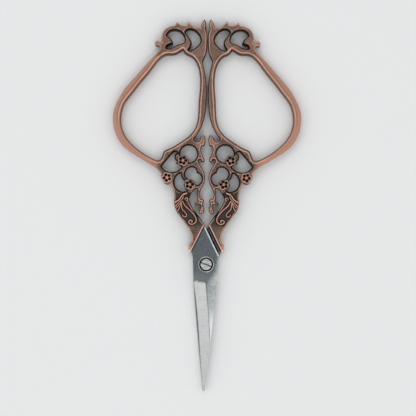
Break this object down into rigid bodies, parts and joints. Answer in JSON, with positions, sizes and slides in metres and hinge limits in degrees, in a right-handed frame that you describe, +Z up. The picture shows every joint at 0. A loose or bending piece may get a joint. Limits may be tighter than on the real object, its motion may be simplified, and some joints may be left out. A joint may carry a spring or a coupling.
{
  "type": "embroidery scissors",
  "caption": "Small embroidery scissors with straight pointed blades and ornate pierced cast handles with teardrop finger loops.",
  "frame": {"origin": "middle of the footprint at the underside of the closed scissors, which lie flat", "axes": "+Z up out of the face with the screw head, +Y from the blades' points to the finger loops"},
  "size_m": [0.0644, 0.1272, 0.004],
  "materials": {
    "blade_steel": "ground",
    "antique_copper": "antique copper plating, dark in the hollows and worn bright on the edges",
    "screw_steel": "brushed"
  },
  "bodies": {
    "rear_half": {"rear_blade": "blade_steel", "right_handle": "antique_copper", "pivot_screw": "screw_steel"},
    "front_half": {"front_blade": "blade_steel", "left_handle": "antique_copper"}
  },
  "joints": [
    {"name": "pivot", "type": "hinge", "parent": "rear_half", "child": "front_half", "pos_m": [0, -0.02022, 0.002], "axis": [0, 0, 1], "range_deg": [0, 75]}
  ]
}
